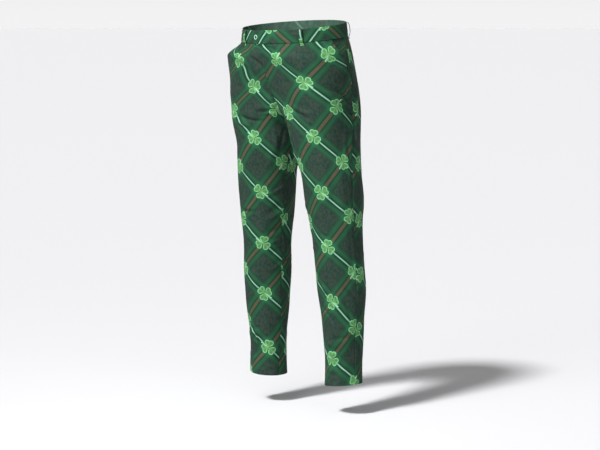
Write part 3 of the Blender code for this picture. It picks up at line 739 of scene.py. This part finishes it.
def check_fields(across, up):
    """Distances from the nearest pale line and brown bar, and the place and turn of the nearest crossing."""
    column = across / HALF_REPEAT_ACROSS
    pale_row = (up + column * PALE_FALL) / REPEAT_DOWN
    brown_row = column - pale_row
    pale_whole, brown_whole = pale_row.whole(), brown_row.whole()
    pale_off, brown_off = pale_row - pale_whole, brown_row - brown_whole
    cell = HALF_REPEAT_ACROSS * REPEAT_DOWN
    pale_spacing = cell / np.hypot(HALF_REPEAT_ACROSS, PALE_FALL)
    brown_spacing = cell / np.hypot(HALF_REPEAT_ACROSS, BROWN_RISE)
    from_pale, from_brown = pale_off.size() * pale_spacing, brown_off.size() * brown_spacing
    off_across = (pale_off + brown_off) * HALF_REPEAT_ACROSS
    off_up = pale_off * BROWN_RISE - brown_off * PALE_FALL
    quarter_turns = (pale_whole + brown_whole).odd() + pale_whole.odd() * 2.0
    turn = quarter_turns * (np.pi / 2) + float(-np.arctan2(PALE_FALL, HALF_REPEAT_ACROSS))
    return from_pale, from_brown, off_across, off_up, turn


def shamrock_fields(off_across, off_up, turn):
    """How far inside a leaf's edge a place lies, how far inside the stem, and how far out from the middle."""
    turn_cosine, turn_sine = turn.cosine(), turn.sine()
    stemward = off_across * turn_cosine + off_up * turn_sine
    aside = off_up * turn_cosine - off_across * turn_sine
    out = (stemward * stemward + aside * aside).root()
    bearing = aside.work("ARCTAN2", stemward) + 2.0 * np.pi
    from_axis = (bearing.work("FLOORED_MODULO", 2.0 * np.pi / 3.0) - np.pi / 3.0).size()
    lobe_angle = float(np.arctan2(LOBE_ASIDE, LOBE_OUT))
    lobe_far = float(np.hypot(LOBE_ASIDE, LOBE_OUT))
    from_lobe = from_axis - lobe_angle
    sideways = from_lobe.sine() * lobe_far
    edge = from_lobe.cosine() * lobe_far + (sideways * sideways * -1.0 + LOBE_RADIUS**2).root()
    leaf_half = lobe_angle + float(np.arcsin(LOBE_RADIUS / lobe_far))
    flank = out * (from_axis * -1.0 + leaf_half).sine()
    in_leaf = (edge - out).least(flank)
    stem_middle = stemward * stemward * STEM_BEND
    stem_side = (aside - stem_middle).size() * -1.0 + (stemward * STEM_SPREAD + STEM_HALF_WIDTH)
    in_stem = stem_side.least(stemward * -1.0 + STEM_LENGTH).least(stemward)
    return in_leaf, in_stem, out, from_axis


def green_band(distance):
    """The lighter green band that runs beside each line of the check."""
    return distance.step(BAND_START, BAND_FULL) * distance.step(BAND_END, BAND_HOLD)


def print_colour(tree, place, across, up):
    """The printed colour: dark diamonds, green bands, brown bars, pale lines and shamrocks."""
    from_pale, from_brown, off_across, off_up, turn = check_fields(across, up)
    mottle = noise(tree, place, 40.0, 3.0)
    fleck = noise(tree, place, 150.0, 2.0, stretch=(1.0, 0.7))
    threads = noise(tree, place, 520.0, 1.0)
    diamond = layered(
        tree, mixed(tree, mottle.step(0.35, 0.70), shade(38, 57, 50), shade(48, 60, 53)),
        (fleck.step(0.42, 0.66) * FLECK_SHARE, (62, 70, 62)),
        (fleck.step(0.46, 0.28) * FLECK_SHARE, (28, 45, 38)))
    ground = mixed(tree, from_pale.least(from_brown).step(*DIAMOND_EDGE), shade(29, 61, 46), diamond)
    bands = (green_band(from_pale) + green_band(from_brown) * 0.9).least(1.25)
    beside_line = from_pale.step(0.0060, 0.0030) * 0.70
    beside_bar = from_brown.step(0.0095, 0.0055) * 0.62
    bar = from_brown.step(BROWN_BAR / 2 + 0.0012, BROWN_BAR / 2 - 0.0010)
    line = from_pale.step(PALE_LINE / 2 + SHARP, PALE_LINE / 2 - SHARP)
    colour = layered(
        tree, ground,
        (bands * (mottle * 0.5 + 0.58), (43, 81, 58)),
        (from_pale.step(*BRIGHT_ROUND) * from_brown.step(*BRIGHT_ROUND) * 0.60, (35, 86, 58)),
        (beside_line.most(beside_bar), (20, 56, 40)),
        (bar * (fleck * 0.5 + 0.55).least(0.95), (86, 76, 62)),
        (line * 0.88, (134, 176, 152)))
    colour = shamrock_colour(tree, colour, off_across, off_up, turn)
    return layered(tree, colour, (threads.step(0.30, 0.75) * 0.14, (12, 30, 22)))


def shamrock_colour(tree, ground, off_across, off_up, turn):
    """The shamrock over the check: a soft glow, a dark surround, and pale-rimmed leaves with a pale stem."""
    in_leaf, in_stem, out, from_axis = shamrock_fields(off_across, off_up, turn)
    rim = in_leaf.step(LEAF_RIM + SHARP, LEAF_RIM - SHARP) * out.step(0.0060, 0.0085)
    leaf = layered(
        tree, shade(86, 136, 84),
        (in_leaf.step(0.0026, 0.0052) * from_axis.step(0.10, 0.30) * 0.55, (60, 104, 62)),
        (in_leaf.step(0.0058, 0.0024) * 0.35, (108, 162, 104)),
        (rim, (128, 190, 142)))
    colour = layered(
        tree, ground,
        (out.step(0.034, 0.012) * 0.55, (38, 98, 68)),
        (in_leaf.step(-0.0022, -0.0004) * out.step(0.026, 0.022) * 0.55, (18, 62, 42)),
        (in_stem.step(*OUTLINE), (132, 192, 144)))
    return mixed(tree, in_leaf.step(*OUTLINE), colour, leaf)


def new_material(name):
    """A material, its nodes and its shader."""
    material = bpy.data.materials.new(name)
    material.use_nodes = True
    return material, material.node_tree, material.node_tree.nodes["Principled BSDF"]


def cloth_bump(tree, place, across, up, strength):
    """A fine twill, crossed with uneven threads, as bump."""
    twill = ((across + up) * (2.0 * np.pi / TWILL_PITCH)).sine() * 0.5 + 0.5
    slubs = noise(tree, place, 260.0, 2.0, stretch=(1.0, 0.35))
    height = twill * 0.35 + slubs * 0.65
    return added(tree, "Bump", {"Strength": strength, "Distance": TWILL_DEPTH, "Height": height}).outputs[0]


def suiting(name, printed=True):
    """The suit cloth: its printed outside, or its inside, where the print strikes through unevenly."""
    material, tree, shader = new_material(name)
    place, across, up = cloth_place(tree)
    if printed:
        colour = print_colour(tree, place, across, up)
        roughness = noise(tree, place, 18.0, 3.0) * 0.16 + 0.66
        fill(tree, shader, {"Sheen Weight": 0.01, "Sheen Roughness": 0.45})
    else:
        strike = noise(tree, place, 60.0, 3.0)
        colour = reverse_colour(tree, strike, across, up)
        roughness = strike * 0.1 + 0.78
    fill(tree, shader, {
        "Base Color": colour, "Roughness": roughness, "Specular IOR Level": 0.06,
        "Normal": cloth_bump(tree, place, across, up, 0.35 if printed else 0.3)})
    return material


def reverse_colour(tree, strike, across, up):
    """The inside's colour: a greyer ground with faint lines and bars."""
    from_pale, from_brown, *_ = check_fields(across, up)
    ground = mixed(tree, strike.step(0.3, 0.7), shade(58, 82, 70), shade(72, 96, 84))
    colour = mixed(tree, from_pale.step(0.0040, 0.0020) * 0.4, ground, shade(118, 146, 128))
    return mixed(tree, from_brown.step(0.0064, 0.0044) * 0.4, colour, shade(78, 80, 70))


def thread_material(name):
    """Twisted sewing thread."""
    material, tree, shader = new_material(name)
    grain, _ = grain_through(tree, 900.0)
    colour = mixed(tree, grain.step(0.35, 0.7), shade(18, 44, 32), shade(34, 74, 52))
    fill(tree, shader, {"Base Color": colour, "Roughness": grain * 0.2 + 0.45})
    return material


def button_material(name):
    """Moulded button: a pale green rim round a dark green dish, with faint streaks."""
    material, tree, shader = new_material(name)
    grain, place = grain_through(tree, 420.0, 3.0)
    x, y, _ = parts_of(tree, place)
    rim = mixed(tree, grain.step(0.3, 0.7), shade(112, 168, 134), shade(146, 196, 164))
    dish = mixed(tree, grain.step(0.3, 0.7), shade(22, 48, 36), shade(36, 68, 50))
    colour = mixed(tree, (x * x + y * y).root().step(0.0040, 0.0050), dish, rim)
    fill(tree, shader, {"Base Color": colour, "Roughness": grain * 0.15 + 0.28, "Coat Weight": 0.2})
    return material


def floor_material(name):
    """A plain pale floor."""
    material, tree, shader = new_material(name)
    fill(tree, shader, {"Base Color": shade(214, 214, 216), "Roughness": 0.8})
    return material


def front_grid(side):
    """The grid of a front, and how far its lapping edge is lifted."""
    heights = row_heights()
    inner_edge = np.where(heights > CROTCH_Z, middle_angle(heights),
                          inseam_shift(heights) + half_gap_degrees(heights))
    outer_edge = np.where(heights > MOUTH_END_Z, angle_on(MOUTH, heights), angle_on(OUTSEAM, heights))
    outer_edge = outer_edge - half_gap_degrees(heights)
    if side == LEFT:
        lap, lifted = fly_shares(heights)
        held_back = middle_angle(heights, clear=SEAM_CLOSED / 2 + LIFTED_EDGE_CLEAR * LAP_LIFT * lifted)
        lapped = middle_angle(heights, clear=0.0) - arc_degrees(heights, LAP)
        inner_edge = np.where(heights > LIFT_END_Z, held_back * (1.0 - lap) + lapped * lap, inner_edge)
    lengths = row_lengths(side, inner_edge, outer_edge, heights)
    grid = Grid(side, leg_columns(inner_edge, outer_edge, 0.0, edge_shares(lengths, PANEL_CELLS)), heights)
    lift = np.zeros(grid.angles.shape)
    if side == LEFT:
        lift = lifted[:, None] * lap_lift(grid.angles, grid.heights, LAP_LIFT, LAP_REACH)
    return grid, lift


def hem_and_band_marks(grid):
    """The dip under the waistband, and the faint mark of the hem's turn-up."""
    mark = HEM_MARK * bell(grid.from_bottom - HEM_TURN_UP, HEM_MARK_SOFT)
    return seam_sink(grid.from_top - TUCK, grid.from_first) - mark


def front_piece(name, side, lay, materials):
    """A front: lapped fly or seam at the middle, stitched pocket mouth, side seam and inseam."""
    grid, lift = front_grid(side)
    levels = grid.heights
    fly = fly_shares(levels)[1] if side == LEFT else 0.0
    mouth = (levels > MOUTH_END_Z).astype(float)
    lift = (lift + hem_and_band_marks(grid)
            + (1.0 - fly) * seam_sink(grid.from_first, grid.from_top)
            + (1.0 - mouth) * seam_sink(grid.from_last, grid.from_top)
            + mouth * stitched_edge(grid.from_last))
    across, up = cloth_uv(side, FRONT_GRAIN, lay, CROSSING_DOWN[name], grid.angles, levels)
    shell(name, grid, lift, PANEL_CLOTH, across, up, materials, gape=1.0)


def back_piece(name, side, lay, materials):
    """A back: side seam, seat seam and inseam."""
    heights = row_heights()
    outer_edge = angle_on(OUTSEAM, heights) + half_gap_degrees(heights)
    inner_edge = np.where(heights > CROTCH_Z, 360.0 - middle_angle(heights),
                          360.0 + inseam_shift(heights) - half_gap_degrees(heights))
    lengths = row_lengths(side, outer_edge, inner_edge, heights)
    columns = leg_columns(inner_edge, outer_edge, 360.0, edge_shares(lengths, PANEL_CELLS))
    grid = Grid(side, columns[:, ::-1], heights)
    lift = (hem_and_band_marks(grid) + seam_sink(grid.from_first, grid.from_top)
            + seam_sink(grid.from_last, grid.from_top))
    across, up = cloth_uv(side, BACK_GRAIN, lay, CROSSING_DOWN[name], grid.angles, grid.heights)
    shell(name, grid, lift, PANEL_CLOTH, across, up, materials)


def between(first, last, shares):
    """Angles of a grid's columns, from the first edge to the last."""
    return first[:, None] * (1.0 - shares) + last[:, None] * shares


def facing_piece(name, side, materials):
    """The pocket's back wall, seen in the mouth and then under the front."""
    top = PANEL_TOP_Z + TUCK
    heights = np.linspace(top, FACING_END_Z, round((top - FACING_END_Z) / FACING_ROW_PITCH) + 1)
    seam = angle_on(OUTSEAM, heights) - half_gap_degrees(heights)
    front = np.full(len(heights), FACING_FRONT_ANGLE)
    shares = edge_shares(row_lengths(side, front, seam, heights), FACING_CELLS)
    grid = Grid(side, between(front, seam, shares), heights)
    under = eased(heights, FACING_FLUSH_Z, FACING_UNDER_Z)[:, None]
    inset = ease((seam[:, None] - grid.angles) / FACING_RISE)
    hand = ease((grid.angles - (seam[:, None] - FACING_PAST_HAND)) / FACING_HAND_FADE)
    lift = ((1.0 - under) * seam_sink(grid.from_last, grid.from_top)
            - FACING_DEPTH * np.maximum(inset, under))
    across, up = cloth_uv(side, FRONT_GRAIN, LAY_FACING, FACING_CROSSING_DOWN, grid.angles, grid.heights)
    piece = shell(name, grid, lift, FACING_CLOTH, across, up, materials, hand=hand)


def band_grid(side):
    """The grid of a waistband half, and how far its tab is lifted."""
    steps = np.array(BAND_ROWS)
    heights = np.concatenate([BAND_HEIGHT / 2 - steps, -BAND_HEIGHT / 2 + steps[::-1][1:]])
    front = middle_angle(heights)
    if side == LEFT:
        front = middle_angle(heights, clear=0.0) - arc_degrees(heights, TAB)
    back = 360.0 - middle_angle(heights)
    shares = edge_shares(row_lengths(side, front, back, heights), BAND_CELLS)
    grid = Grid(side, between(front, back, shares), heights)
    lift = np.full(grid.angles.shape, BAND_PROUD)
    if side == LEFT:
        lift = lift + lap_lift(grid.angles, grid.heights, TAB_LIFT, TAB_REACH)
    return grid, lift


def band_piece(name, side, materials):
    """Half the waistband, with pressed edges and a faint crown. The left half ends in the lapping tab."""
    grid, lift = band_grid(side)
    lift = lift + BAND_CROWN * (1.0 - (grid.heights / (BAND_HEIGHT / 2)) ** 2)
    lift = lift + seam_sink(grid.from_last, grid.from_top)
    middle_row = smooth_skin(side, grid.angles[len(grid.angles) // 2], 0.0)[None]
    start = TAB if side == LEFT else 0.0
    out = np.repeat(along_rows(middle_row) - start, len(grid.angles), axis=0) * side
    crossing_out, crossing_up = BAND_CROSSING[side]
    across, up = grid.heights - crossing_up, crossing_out - out
    piece = shell(name, grid, lift, BAND_CLOTH, across, up, materials)


def loop_stand_off(heights):
    """How far a loop's inner face stands off the panel's skin."""
    over_band = eased(heights, LOOP_FOOT_Z, -BAND_HEIGHT / 2)
    return curve_through(LOOP_PATH, heights)[..., 0] + BAND_PROUD * over_band


def belt_loop(row, materials):
    """A belt loop: a folded strip that arches over the band, with its edges rolled."""
    name, side, angle, turn, crossing_across, crossing_down = row
    heights = np.linspace(LOOP_PATH[0][0], LOOP_PATH[-1][0], LOOP_STEPS + 1)
    columns = np.array(LOOP_COLUMNS)[None, :] + np.zeros((len(heights), 1))
    angles = angle + arc_degrees(np.zeros(1), LOOP_WIDTH)[0] * columns
    grid = Grid(side, angles, heights)
    lift = loop_stand_off(grid.heights) + LOOP_CLOTH
    down = np.repeat(along_columns(skin(side, angles, grid.heights, lift))[:, :1], angles.shape[1], axis=1)
    strip_across, strip_up = side * columns * LOOP_WIDTH - crossing_across, crossing_down - down
    cosine, sine = np.cos(np.radians(turn)), np.sin(np.radians(turn))
    across, up = strip_across * cosine - strip_up * sine, strip_across * sine + strip_up * cosine
    piece = shell(name, grid, lift, LOOP_CLOTH, across, up, materials, plump=LOOP_ROLL)


def tube(centre, radius, aside, up, sides, capped):
    """Points and faces of a round thread along a line."""
    turns = np.linspace(0.0, 2.0 * np.pi, sides, endpoint=False)[None, :, None]
    points = centre[:, None] + radius * (np.cos(turns) * aside[:, None] + np.sin(turns) * up[:, None])
    corner = np.arange((len(centre) - 1) * sides)
    after = corner // sides * sides + (corner + 1) % sides
    faces = np.stack([corner, after, after + sides, corner + sides], axis=1).tolist()
    if capped:
        start, end = range(sides), range(len(corner), len(corner) + sides)
        faces.extend([list(reversed(start)), list(end)])
    return points.reshape(-1, 3), faces


def stitch_row(points, normals):
    """The stitches of a row on a path: short threads that dip in at both ends."""
    along = along_rows(points[None])[0]
    shares = np.linspace(0.0, 1.0, THREAD_RINGS)
    arch = np.sin(np.pi * shares)
    rise, radius = THREAD * (1.5 * arch - 0.9), THREAD * (0.55 + 0.45 * arch)
    stitches = []
    for index in range(int(along[-1] // (STITCH + STITCH_GAP))):
        places = index * (STITCH + STITCH_GAP) + shares * STITCH
        centre, up = (np.stack([np.interp(places, along, values[:, axis]) for axis in range(3)], axis=-1)
                      for values in (points, normals))
        ahead = (centre[-1] - centre[0]) / np.linalg.norm(centre[-1] - centre[0])
        stitches.append(tube(centre + up * rise[:, None], radius[:, None, None], np.cross(up, ahead), up,
                             THREAD_SIDES, capped=True))
    return stitches


def path_on_skin(side, angles, heights, lift, gape=0.0):
    """A path on the cloth, with the way out from it at each point."""
    points, higher = (skin(side, angles, heights, lift + more, 1.0, gape) for more in (0.0, PATH_STEP))
    return points, (higher - points) / PATH_STEP


def sew(name, rows, material):
    """One object from several rows of stitches."""
    points, faces = joined(stitch for row in rows for stitch in stitch_row(*row))
    riding(name, mesh_of(name, points, faces), [material])


def fly_stitches(material):
    """The curved row beside the fly."""
    heights = np.linspace(FLY_STITCHES[0][0], FLY_STITCHES[-1][0], FLY_POINTS)
    out = curve_through(FLY_STITCHES, heights)[..., 0]
    angles = middle_angle(heights, clear=0.0) + arc_degrees(heights, 1.0) * out
    lift = fly_shares(heights)[1] * lap_lift(angles, heights, LAP_LIFT, LAP_REACH)
    sew("stitches_fly", [path_on_skin(LEFT, angles, heights, lift, 1.0)], material)


def mouth_stitches(name, side, material):
    """The row beside a pocket's mouth, with a bar tack across each end."""
    heights = np.linspace(PANEL_TOP_Z - MOUTH_ROW_IN[0], MOUTH_END_Z + MOUTH_ROW_IN[1], MOUTH_POINTS)
    sizes = section_at(heights)
    across = arc_degrees(heights, EDGE_STITCH_IN) * sizes[2] / sizes[3]
    rows = [path_on_skin(side, angle_on(MOUTH, heights) - across, heights, -GROOVE, 1.0)]
    for height in MOUTH_TACKS_Z:
        rows.extend(bar_tack(side, float(angle_on(MOUTH, height)) - MOUTH_TACK_ANGLE, height, 0.0, 1.0))
    sew(name, rows, material)


def bar_tack(side, angle, height, lift, gape=0.0):
    """A bar tack: a few rows of stitches close above each other."""
    half = arc_degrees(np.array([height]), TACK_WIDTH / 2)[0]
    angles = np.linspace(angle - half, angle + half, TACK_POINTS)
    return [path_on_skin(side, angles, np.full(TACK_POINTS, height + row * TACK_HEIGHT), lift, gape)
            for row in np.linspace(-0.5, 0.5, TACK_ROWS)]


def loop_stitches(material):
    """Two rows down each belt loop, and a bar tack at each end."""
    rows = []
    top, foot = LOOP_PATH[0][0], LOOP_PATH[-1][0]
    half = arc_degrees(np.zeros(1), LOOP_WIDTH * LOOP_STITCH_SHARE)[0]
    heights = np.linspace(top - LOOP_ROW_IN, foot + LOOP_ROW_IN, LOOP_POINTS)
    for _, side, angle, *_ in LOOPS:
        for offset in (-half, half):
            rows.append(path_on_skin(side, np.full(LOOP_POINTS, angle + offset), heights,
                                     loop_stand_off(heights) + LOOP_CLOTH))
        for height in (top - LOOP_TACKS_IN[0], foot + LOOP_TACKS_IN[1]):
            rows.extend(bar_tack(side, angle, height, float(loop_stand_off(np.array(height))) + LOOP_CLOTH))
    sew("stitches_belt_loops", rows, material)


def button_place():
    """Where the button lies on the tab, as a matrix."""
    angle = middle_angle(0.0, clear=0.0) - arc_degrees(0.0, TAB - BUTTON_FROM_TAB_END)
    face_lift = BAND_PROUD + TAB_LIFT + BAND_CROWN
    seat = Vector(skin(LEFT, angle, 0.0, face_lift + SEAM_GAP / 2))
    outward = (seat - Vector(skin(LEFT, angle, 0.0, face_lift - SEAM_GAP))).normalized()
    return Matrix.Translation(seat) @ outward.to_track_quat("Z", "Y").to_matrix().to_4x4()


def turned(outline, turns):
    """Points and faces of a body turned from an outline that starts and ends on its axis."""
    around = np.linspace(0.0, 2.0 * np.pi, turns, endpoint=False)
    points = [(0.0, 0.0, outline[0][1])]
    for radius, height in outline[1:-1]:
        points.extend((radius * np.cos(turn), radius * np.sin(turn), height) for turn in around)
    points.append((0.0, 0.0, outline[-1][1]))
    faces = []
    for side in range(turns):
        start, after = 1 + side, 1 + (side + 1) % turns
        faces.append((0, after, start))
        for low in range(0, (len(outline) - 3) * turns, turns):
            faces.append((low + start, low + after, low + turns + after, low + turns + start))
        last = (len(outline) - 3) * turns
        faces.append((last + start, last + after, len(points) - 1))
    return points, faces


def hole_cutter(x, y):
    """A closed pin that cuts one hole of the button."""
    low, high = HOLE_PIN_ENDS
    points, faces = turned(((0.0, low), (HOLE_RADIUS, low), (HOLE_RADIUS, high), (0.0, high)), HOLE_SIDES)
    return [(px + x, py + y, pz) for px, py, pz in points], faces


def button_piece(material, thread):
    """The waist button, with four holes and crossed thread."""
    place = button_place()
    body = placed("button_blank", mesh_of("button_blank", *turned(BUTTON_OUTLINE, BUTTON_TURNS)))
    holes = [(HOLE_OUT * np.cos(turn), HOLE_OUT * np.sin(turn)) for turn in np.pi * (np.arange(4) / 2 + 0.25)]
    cutter = placed("button_holes", mesh_of("button_holes", *joined(hole_cutter(*hole) for hole in holes)))
    cut = body.modifiers.new("holes", "BOOLEAN")
    cut.object, cut.operation, cut.solver = cutter, "DIFFERENCE", "EXACT"
    made = bpy.data.meshes.new_from_object(body.evaluated_get(bpy.context.evaluated_depsgraph_get()))
    for helper in (body, cutter):
        bpy.data.objects.remove(helper, do_unlink=True)
    made.name = "button_turned"
    piece = riding("button_turned", made, [material])
    made.set_sharp_from_angle(angle=np.radians(40.0))
    piece.matrix_world = place
    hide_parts("waist_button")
    button_thread(place, holes, thread)


def button_thread(place, holes, material):
    """Crossed threads between the button's holes."""
    shares = np.linspace(0.0, 1.0, BUTTON_THREAD_RINGS)
    level, arch, dip = BUTTON_THREAD_HEIGHT
    height = level + arch * np.sin(np.pi * shares) - dip * (np.abs(2 * shares - 1) ** 8)
    up = np.array([[0.0, 0.0, 1.0]])
    threads = []
    for first, last in ((0, 2), (1, 3)):
        for offset in (-BUTTON_ROWS_ASIDE, BUTTON_ROWS_ASIDE):
            start, end = np.array([*holes[first], 0.0]), np.array([*holes[last], 0.0])
            ahead = (end - start) / np.linalg.norm(end - start)
            aside = np.array([[-ahead[1], ahead[0], 0.0]])
            centre = start + (end - start) * shares[:, None] + aside * offset + up * height[:, None]
            threads.append(tube(centre, BUTTON_THREAD, aside, up, BUTTON_THREAD_SIDES, capped=False))
    piece = riding("button_thread", mesh_of("button_thread", *joined(threads)), [material])
    piece.matrix_world = place


def stage():
    """Pale floor, soft lights and a brighter horizon."""
    corners = [(x * FLOOR_REACH, y * FLOOR_REACH, FLOOR_Z) for x, y in ((-1, -1), (1, -1), (1, 1), (-1, 1))]
    floor = placed("floor", mesh_of("floor", corners, [(0, 1, 2, 3)]))
    floor.data.materials.append(floor_material("pale_floor"))
    floor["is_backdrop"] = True
    world = bpy.data.worlds.new("studio")
    world.use_nodes = True
    tree = world.node_tree
    upward = parts_of(tree, added(tree, "TexCoord", {}).outputs["Generated"])[2]
    falling = upward.step(SKY_FADE, 0.0) * (HORIZON_STRENGTH - SKY_STRENGTH)
    fill(tree, tree.nodes["Background"], {
        "Strength": falling + SKY_STRENGTH, "Color": (1.0, 1.0, 1.0, 1.0)})
    bpy.context.scene.world = world
    for name, azimuth, elevation, softness, strength in LAMPS:
        light = bpy.data.lights.new(name, "SUN")
        light.angle, light.energy = np.radians(softness), strength
        turn, rise = np.radians(azimuth), np.radians(elevation)
        toward = Vector((np.sin(turn) * np.cos(rise), -np.cos(turn) * np.cos(rise), np.sin(rise)))
        placed(name, light).rotation_euler = toward.to_track_quat("Z", "Y").to_euler()
    light = bpy.data.lights.new("box", "AREA")
    light.size, light.energy = BOX_SIDE, BOX_WATTS
    lamp = placed("box", light)
    lamp.location = BOX_PLACE
    lamp.rotation_euler = (Vector(BOX_AIM) - lamp.location).to_track_quat("-Z", "Y").to_euler()
    bpy.context.scene.view_settings.view_transform = "Standard"


def camera():
    """The photograph's view: level with the waist, a quarter turned to the wearer's left."""
    turn = np.radians(CAMERA_AZIMUTH)
    eye = Vector((CAMERA_DISTANCE * np.sin(turn), -CAMERA_DISTANCE * np.cos(turn), CAMERA_Z))
    right = Vector((np.cos(turn), np.sin(turn), 0.0))
    aim = right * WAIST_LEFT_OF_MIDDLE_PIXELS * METRES_PER_PIXEL + Vector((0.0, 0.0, AIM_Z))
    view = placed("view", bpy.data.cameras.new("view"))
    view.location = eye
    view.rotation_euler = (aim - eye).to_track_quat("-Z", "Y").to_euler()
    view.data.sensor_width = SENSOR_MM
    view.data.lens = CAMERA_DISTANCE / METRES_PER_PIXEL * SENSOR_MM / FRAME_WIDTH_PIXELS
    bpy.context.scene.camera = view


def dress():
    """Every piece of the trousers."""
    cloth, pocket = ([suiting(name), suiting(name + "_reverse", printed=False)]
                     for name in ("print_cloth", "pocket_cloth"))
    thread = thread_material("sewing_thread")
    front_piece("front_left", LEFT, LAY_FRONT_LEFT, cloth)
    front_piece("front_right", RIGHT, LAY_FRONT_RIGHT, cloth)
    back_piece("back_left", LEFT, LAY_BACK_LEFT, cloth)
    back_piece("back_right", RIGHT, LAY_BACK_RIGHT, cloth)
    for name, side in (("left", LEFT), ("right", RIGHT)):
        facing_piece("pocket_facing_" + name, side, pocket)
        band_piece("waistband_" + name, side, cloth)
        mouth_stitches("stitches_pocket_mouth_" + name, side, thread)
    for row in LOOPS:
        belt_loop(row, cloth)
    loop_stitches(thread)
    fly_stitches(thread)
    button_piece(button_material("button"), thread)


def corners():
    """The shown object's box, as plain lists."""
    return [list(corner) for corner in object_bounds()]


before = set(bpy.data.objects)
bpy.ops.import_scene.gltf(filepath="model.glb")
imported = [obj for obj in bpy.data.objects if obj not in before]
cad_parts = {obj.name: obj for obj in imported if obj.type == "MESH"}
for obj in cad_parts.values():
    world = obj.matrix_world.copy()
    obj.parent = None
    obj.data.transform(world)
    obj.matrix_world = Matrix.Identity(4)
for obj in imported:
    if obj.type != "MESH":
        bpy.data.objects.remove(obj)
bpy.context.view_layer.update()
camera()
stage()
dress()
